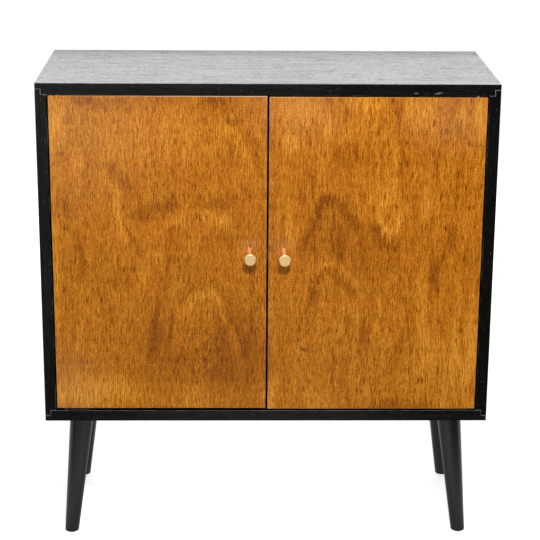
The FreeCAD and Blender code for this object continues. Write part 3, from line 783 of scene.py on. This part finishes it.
# %% Mix the black stain
pore_pitch = 0.0024
pore_stretch = 0.07
fleck_pitch = 0.009
fleck_length = 0.005
dull_strip = (0.0965, 0.2065)
dull_share = 0.78
lacquer_weight = 0.64
rub_across = 2600.0
rub_along = 7.0
shelf_sheen_scale = (110.0, 6.0, 110.0)
stain_dark = (0.0009, 0.0007, 0.0006, 1)
stain_pale = (0.0020, 0.0017, 0.0014, 1)
pore_black = (0.0007, 0.0006, 0.0005, 1)
rub_grey = (0.06, 0.06, 0.06, 1)
shelf_sheen_grey = (0.11, 0.11, 0.11, 1)
worn_and_lit_arris_grey = (0.15, 0.147, 0.143, 1)
dust_grey = (0.32, 0.31, 0.30, 1)
scuff_grey = (0.20, 0.19, 0.18, 1)
# across, up, half width, half height, tilt in degrees
rail_scuffs = [(0.290, 0.9590, 0.004, 0.0016, 0), (0.334, 0.9592, 0.008, 0.0018, 10)]


def black_stain(name, along, sheen_share=0.0, shine=1.0):
    """Black-stained board; along is the grain's axis, 0 or 2, and the third value the share of painted sheen
    that pales it in streaks.
    """
    material, tree, shader = new_finish(name, Specular_IOR_Level=0.0, Coat_Roughness=0.28, Coat_IOR=1.35)
    place = object_place(tree)
    scale = [1.0 / pore_pitch] * 3
    scale[along] *= pore_stretch
    grain = use_group(tree, wood_grain, Vector=stretched(tree, place, scale))
    colour = mix_colour(tree, grain["Bands"], stain_dark, stain_pale)
    colour = mix_colour(tree, grain["Pores"], colour, pore_black, 0.8)
    rub_scale = [rub_across] * 3
    rub_scale[along] = rub_along
    rubbed = remap(tree, noise(tree, stretched(tree, place, rub_scale), 1.0, 2.0), 0.60, 0.72)
    rubbed = calc(tree, "MULTIPLY", rubbed, remap(tree, noise(tree, place, 5.0, 3.0), 0.48, 0.62))
    colour = mix_colour(tree, rubbed, colour, rub_grey, 0.5)
    # painted sheen: streaks paled to grey on the shelf, for the light that falls on it through the gap
    # between the doors
    shelf_sheen = noise(tree, stretched(tree, place, shelf_sheen_scale), 1.0, 3.0, 0.6)
    colour = mix_colour(tree, remap(tree, shelf_sheen, 0.1, 0.75), colour, shelf_sheen_grey, sheen_share)
    edges = use_group(tree, worn_and_lit_arris, Vector=place, Patch_Size=0.035, Coverage=0.55)
    # painted highlight: the rounded edges are paled to grey, partly as wear and partly as the light they
    # catch
    colour = mix_colour(tree, edges["Edge"], colour, worn_and_lit_arris_grey, 0.62)
    specks = use_group(tree, dust, Vector=place, Cell_Size=0.007, Speck_Size=0.0009, Share=0.45)
    colour = mix_colour(tree, specks["Specks"], colour, dust_grey, 0.8)
    _, depth, _ = axes_of(tree, place)
    on_edge = remap(tree, depth, *front_skin)
    scuffs = clouds(tree, place, rail_scuffs)
    colour = mix_colour(tree, calc(tree, "MULTIPLY", on_edge, scuffs), colour, scuff_grey, 0.7)
    gloss = use_group(tree, uneven_gloss, Vector=place, Middle=0.40, Spread=0.10, Patch_Size=0.15)
    fleck_scale = [1.0 / fleck_pitch] * 3
    fleck_scale[along] = 1.0 / fleck_length
    flecks = remap(tree, noise(tree, stretched(tree, place, fleck_scale), 1.0, 1.0), 0.42, 0.72)
    coat = plus(tree, plus(tree, lacquer_weight, grain["Pores"], -0.28), grain["Bands"], 0.11, 0.5)
    coat = plus(tree, coat, flecks, -0.13)
    coat = calc(tree, "MULTIPLY", coat, remap(tree, depth, *dull_strip, shine, dull_share * shine))
    dress(tree, shader, Base_Color=colour, Roughness=gloss["Roughness"], Coat_Weight=coat,
          Normal=bump(tree, grain["Height"], 0.16, 0.0003))
    return material


stain_across = black_stain("black_stain_across", 0)
stain_upright = black_stain("black_stain_upright", 2)
stain_shelf = black_stain("black_stain_shelf", 0, sheen_share=0.7)
stain_bottom = black_stain("black_stain_bottom", 0, shine=1.45)
print("finishes:", [m.name for m in (stain_across, stain_upright, stain_shelf, stain_bottom)])

# %% [markdown]
# Black lacquer on the legs.
# The legs are turned from solid wood and lacquered a little glossier than the boards. Turning leaves
# faint rings and the grain runs lengthwise under the lacquer.

# %% Mix the leg lacquer
leg_grain_scale = (420.0, 420.0, 16.0)
ring_scale = (4.0, 4.0, 900.0)
leg_dark = (0.0030, 0.0029, 0.0028, 1)
leg_pale = (0.0070, 0.0067, 0.0064, 1)
leg_pore = (0.0020, 0.0020, 0.0020, 1)
leg_dust = (0.30, 0.29, 0.28, 1)
leg_lacquer, tree, shader = new_finish("leg_lacquer", Specular_IOR_Level=0.5)
place = object_place(tree)
grain = use_group(tree, wood_grain, Vector=stretched(tree, place, leg_grain_scale))
rings = noise(tree, stretched(tree, place, ring_scale))
colour = mix_colour(tree, grain["Bands"], leg_dark, leg_pale)
colour = mix_colour(tree, grain["Pores"], colour, leg_pore, 0.7)
specks = use_group(tree, dust, Vector=place, Cell_Size=0.018, Speck_Size=0.0006, Share=0.18)
colour = mix_colour(tree, specks["Specks"], colour, leg_dust, 0.5)
gloss = use_group(tree, uneven_gloss, Vector=place, Middle=0.30, Spread=0.08, Patch_Size=0.05)
relief = plus(tree, grain["Height"], rings, 0.4)
dress(tree, shader, Base_Color=colour, Roughness=gloss["Roughness"], Normal=bump(tree, relief, 0.12, 0.00025))
print("finish:", leg_lacquer.name)

# %% [markdown]
# Brass.
# The knobs are turned brass with a brushed face: a linear brush drawn across leaves long parallel
# scratches, a fine brown line is painted where the face meets the bevelled rim as shade in that crease,
# and the side is smoother, so that it and the varnish above it pass a streak of light to and fro. The left
# knob is painted a little darker, as painted shade. The hinge leaves are the same metal left duller, with
# brown tarnish in clouds. One function makes both; a turned piece also gives its middle, because its ring
# is a distance from there.

# %% Mix the brass
knob_bevel = 0.0020
knob_radius = (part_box("left_knob")[1].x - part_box("left_knob")[0].x) / 2
face_radius = knob_radius - knob_bevel
brush_scale = (2600.0, 1200.0, 70.0)
tarnish_and_shade_brown = (0.30, 0.16, 0.06, 1)
side_roughness = 0.22


def brass(name, bright, dull, tarnish, roughness, brush_angle, middle=None):
    """Brushed brass: bright and dull are its colours, tarnish the share of brown clouds."""
    material, tree, shader = new_finish(name, Metallic=1.0)
    place = object_place(tree)
    brushed = stretched(tree, place, brush_scale, (0.0, math.radians(brush_angle), 0.0))
    scratches = noise(tree, brushed, 1.0, 3.0, 0.6)
    colour = mix_colour(tree, remap(tree, scratches, 0.3, 0.7), dull, bright)
    tarnish_and_crease_shade = calc(tree, "MULTIPLY", remap(tree, noise(tree, place, 60.0, 4.0, 0.6), 0.5, 0.75), tarnish)
    relief = scratches
    if middle:
        away = vector_calc(tree, "SUBTRACT", place, middle)
        across, _, up = axes_of(tree, away)
        up_squared = calc(tree, "MULTIPLY", up, up)
        radius = calc(tree, "SQRT", calc(tree, "MULTIPLY_ADD", across, across, up_squared))
        off_ring = calc(tree, "ABSOLUTE", calc(tree, "SUBTRACT", radius, face_radius))
        # painted shade: a fine brown line in the crease where the face meets the bevel
        crease_shade_line = remap(tree, off_ring, 0.0005, 0.0001)
        tarnish_and_crease_shade = calc(tree, "MAXIMUM", tarnish_and_crease_shade, calc(tree, "MULTIPLY", crease_shade_line, 0.7))
        on_face = remap(tree, radius, knob_radius - 0.0004, face_radius)
        relief = calc(tree, "MULTIPLY", plus(tree, scratches, crease_shade_line, -1.0), on_face)
    colour = mix_colour(tree, tarnish_and_crease_shade, colour, tarnish_and_shade_brown)
    gloss = use_group(tree, uneven_gloss, Vector=place, Middle=roughness, Spread=0.08, Patch_Size=0.01)
    rough = plus(tree, gloss["Roughness"], tarnish_and_crease_shade, 0.2)
    if middle:
        rough = remap(tree, on_face, 0.0, 1.0, side_roughness, rough)
    dress(tree, shader, Base_Color=colour, Roughness=rough, Normal=bump(tree, relief, 0.10, 0.00008))
    return material


knob_brass = {}
# painted shade: the left knob's brass is made a little darker than the right's
for side, angle, painted_shade in (("left", 80.0, 0.92), ("right", 40.0, 1.0)):
    bright = (1.00 * painted_shade, 0.72 * painted_shade, 0.35 * painted_shade, 1)
    dull = (0.93 * painted_shade, 0.63 * painted_shade, 0.28 * painted_shade, 1)
    middle = (knob_spots[side][0], 0.0, knob_spots[side][1])
    knob_brass[side] = brass(side + "_knob_brass", bright, dull, 0.15, 0.40, angle, middle)
hinge_brass = brass("hinge_brass", (0.78, 0.56, 0.26, 1), (0.60, 0.40, 0.17, 1), 0.45, 0.38, 0.0)
print("finishes:", [m.name for m in (*knob_brass.values(), hinge_brass)])

# %% [markdown]
# Zinc-plated steel.
# Screws, bolts, inserts and the catch's steel plates are zinc plated: a cool grey metal with a fine
# crystalline mottle and some dull patches.

# %% Mix the plated steel
plated_steel, tree, shader = new_finish("plated_steel", Metallic=1.0)
place = object_place(tree)
crystals = add_node(tree, "TexVoronoi", {"Vector": place, "Scale": 1400.0}).outputs["Color"]
mottle = add_node(tree, "SeparateColor", {0: crystals}).outputs[0]
dull_patch = remap(tree, noise(tree, place, 120.0, 4.0, 0.6), 0.45, 0.7)
colour = mix_colour(tree, mottle, (0.52, 0.53, 0.54, 1), (0.64, 0.65, 0.66, 1))
colour = mix_colour(tree, dull_patch, colour, (0.40, 0.39, 0.37, 1), 0.5)
gloss = use_group(tree, uneven_gloss, Vector=place, Middle=0.34, Spread=0.10, Patch_Size=0.006)
rough = plus(tree, gloss["Roughness"], dull_patch, 0.12)
dress(tree, shader, Base_Color=colour, Roughness=rough, Normal=bump(tree, mottle, 0.05, 0.00005))
print("finish:", plated_steel.name)

# %% [markdown]
# Moulded and pressed small parts.
# The catch housings, glides and washers are moulded plastic, the magnets pressed ferrite, the back a thin
# board stained black and the filler in the joints a grey paste. All are a fine-grained texture in two tones
# with some dust, so one function makes them from their colours, the size of the texture and how matt they
# are.

# %% Mix the small parts' finishes
def moulded(name, dark, pale, texture_size, roughness, dust_share):
    """A matt, fine-textured part in two tones."""
    material, tree, shader = new_finish(name, Specular_IOR_Level=0.35)
    place = object_place(tree)
    texture = noise(tree, place, 1.0 / texture_size, 4.0, 0.65)
    blotches = noise(tree, place, 0.08 / texture_size, 3.0)
    tone = calc(tree, "MULTIPLY_ADD", blotches, 0.6, calc(tree, "MULTIPLY", texture, 0.4))
    colour = mix_colour(tree, remap(tree, tone, 0.35, 0.65), dark, pale)
    edges = use_group(tree, worn_and_lit_arris, Vector=place, Patch_Size=0.01, Coverage=0.5)
    # painted highlight: the rounded edges are paled, partly as wear and partly as the light they catch
    colour = mix_colour(tree, edges["Edge"], colour, (0.30, 0.29, 0.28, 1), 0.3)
    specks = use_group(tree, dust, Vector=place, Cell_Size=0.012, Speck_Size=0.0005, Share=dust_share)
    colour = mix_colour(tree, specks["Specks"], colour, (0.45, 0.44, 0.42, 1), 0.5)
    gloss = use_group(tree, uneven_gloss, Vector=place, Middle=roughness, Spread=0.10,
                      Patch_Size=12.0 * texture_size)
    dress(tree, shader, Base_Color=colour, Roughness=gloss["Roughness"],
          Normal=bump(tree, texture, 0.15, 0.2 * texture_size))
    return material


# dark tone, pale tone, size of the texture, roughness, share of dust
small_recipes = {
    "back_board": ((0.010, 0.0095, 0.009, 1), (0.026, 0.024, 0.022, 1), 0.0016, 0.62, 0.3),
    "catch_plastic": ((0.040, 0.024, 0.014, 1), (0.058, 0.036, 0.022, 1), 0.0005, 0.45, 0.2),
    "magnet_ferrite": ((0.045, 0.046, 0.048, 1), (0.085, 0.086, 0.088, 1), 0.0003, 0.55, 0.1),
    "glide_plastic": ((0.030, 0.030, 0.030, 1), (0.050, 0.050, 0.049, 1), 0.0005, 0.50, 0.3),
    "washer_nylon": ((0.020, 0.020, 0.021, 1), (0.032, 0.032, 0.033, 1), 0.0004, 0.42, 0.1),
    "seam_filler": ((0.020, 0.020, 0.020, 1), (0.220, 0.222, 0.216, 1), 0.0007, 0.60, 0.0),
}
small_finish = {name: moulded(name, *recipe) for name, recipe in small_recipes.items()}
print("finishes:", list(small_finish))

# %% [markdown]
# Filler in the corner joints.
# The boards meet at each corner in a stepped joint, and the line of filler that was pressed into it shows
# as a thin grey bead on the black front edges. A bead is a square stick that turns twice: a small cube is
# put at the inner corner and its end faces are extruded along the step, as one would by hand. Rounding its
# edges and pushing its skin in and out by a cloud texture takes the machined look away. The texture goes by
# place, so the bead comes out the same each time. Its place and the lengths of its steps come from the
# boards themselves.

# %% Model one bead of filler
bead_width = 0.0012
bead_proud = 0.00012
bead_depth = 0.0008
bead_shake = 0.00030
bead_cuts = 4
bead_rounding = 0.00015
bead_unrest = bpy.data.textures.new("bead_unrest", "CLOUDS")
bead_unrest.noise_scale = 0.0015
bead_smooth_angle = math.radians(40)
_, side_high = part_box("left_side_panel")
top_low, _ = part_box("top_panel")
_, bottom_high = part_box("bottom_panel")
front_plane = top_low.y
corner_lap = side_high.z - top_low.z
opening_half = -side_high.x


def extrude_where(piece, test, step):
    """Select only the faces of a piece that pass a test and extrude them by a step."""
    bpy.ops.mesh.select_all(action="DESELECT")
    bpy.ops.object.mode_set(mode="OBJECT")
    for face in piece.data.polygons:
        face.select = test(face.center, face.normal)
    bpy.ops.object.mode_set(mode="EDIT")
    bpy.ops.mesh.extrude_region_move(TRANSFORM_OT_translate={"value": step})


def filler_bead(name, side, rise, level):
    """A stepped bead from the opening's corner outwards; side and rise are +1 or -1."""
    half = bead_width / 2
    middle_y = front_plane + (bead_depth - bead_proud) / 2
    start = Vector((side * (opening_half + half), middle_y, level))
    bpy.ops.object.select_all(action="DESELECT")
    bpy.ops.mesh.primitive_cube_add(size=1.0, location=start)
    piece = bpy.context.object
    piece.name = name
    piece.scale = (bead_width, bead_depth + bead_proud, bead_width)
    bpy.ops.object.transform_apply(location=True, rotation=True, scale=True)
    bpy.ops.object.mode_set(mode="EDIT")
    bpy.ops.mesh.select_mode(type="FACE")
    knee_x = side * (opening_half + corner_lap)
    knee_z = level + rise * corner_lap

    def outward(centre, normal):
        return normal.x * side > 0.9

    def up_at_knee(centre, normal):
        return normal.z * rise > 0.9 and abs(centre.x - knee_x) < half / 2

    def outward_at_top(centre, normal):
        return normal.x * side > 0.9 and abs(centre.z - knee_z) < half / 2

    extrude_where(piece, outward, (side * (corner_lap - 1.5 * bead_width), 0, 0))
    extrude_where(piece, outward, (side * bead_width, 0, 0))
    extrude_where(piece, up_at_knee, (0, 0, rise * (corner_lap - bead_width)))
    extrude_where(piece, up_at_knee, (0, 0, rise * bead_width))
    extrude_where(piece, outward_at_top, (side * (corner_lap - half - bead_width), 0, 0))
    bpy.ops.mesh.select_all(action="SELECT")
    bpy.ops.mesh.remove_doubles(threshold=0.00001)
    bpy.ops.mesh.normals_make_consistent(inside=False)
    bpy.ops.mesh.subdivide(number_cuts=bead_cuts)
    bpy.ops.object.mode_set(mode="OBJECT")
    rounded = piece.modifiers.new("rounded", "BEVEL")
    rounded.width = bead_rounding
    rounded.segments = 2
    bpy.ops.object.modifier_apply(modifier="rounded")
    uneven = piece.modifiers.new("uneven", "DISPLACE")
    uneven.texture = bead_unrest
    uneven.texture_coords = "LOCAL"
    uneven.strength = bead_shake
    bpy.ops.object.modifier_apply(modifier="uneven")
    bpy.ops.object.shade_smooth_by_angle(angle=bead_smooth_angle)
    piece.data.materials.append(small_finish["seam_filler"])
    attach(piece, "carcass")
    return piece


# %% Put a bead in each corner
beads = [
    filler_bead("filler_top_left", -1, 1, top_low.z),
    filler_bead("filler_top_right", 1, 1, top_low.z),
    filler_bead("filler_bottom_left", -1, -1, bottom_high.z),
    filler_bead("filler_bottom_right", 1, -1, bottom_high.z),
]
print("beads:", {bead.name: len(bead.data.polygons) for bead in beads})

# %% [markdown]
# Dress the frame.
# Every piece gets its finish by what its name says it is. The first word that fits wins, so the list
# goes from the particular to the general, and a piece that nothing fits would stop the script.

# %% Give every piece its finish
finish_by_word = [
    ("side_panel", stain_upright),
    ("top_panel", stain_across), ("bottom_panel", stain_bottom), ("shelf", stain_shelf),
    ("back_panel", small_finish["back_board"]),
    ("_leg", leg_lacquer), ("_glide", small_finish["glide_plastic"]),
    ("knob_screw", plated_steel),
    ("left_knob", knob_brass["left"]), ("right_knob", knob_brass["right"]),
    ("screw", plated_steel), ("bolts", plated_steel), ("inserts", plated_steel),
    ("strike_plate", plated_steel), ("pole_plates", plated_steel),
    ("_leaf", hinge_brass), ("hinge_pin", hinge_brass), ("thrust_washer", small_finish["washer_nylon"]),
    ("catch_housing", small_finish["catch_plastic"]), ("catch_magnet", small_finish["magnet_ferrite"]),
    ("_door", veneer),
]


def finish_for(name):
    """The finish of a piece, by the first word in the list that its name holds."""
    return next(finish for word, finish in finish_by_word if word in name)


for name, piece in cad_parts.items():
    finish = finish_for(name)
    for slot in piece.material_slots:
        slot.material = finish
    if not piece.material_slots:
        piece.data.materials.append(finish)
print("dressed:", {name: finish_for(name).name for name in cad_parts})
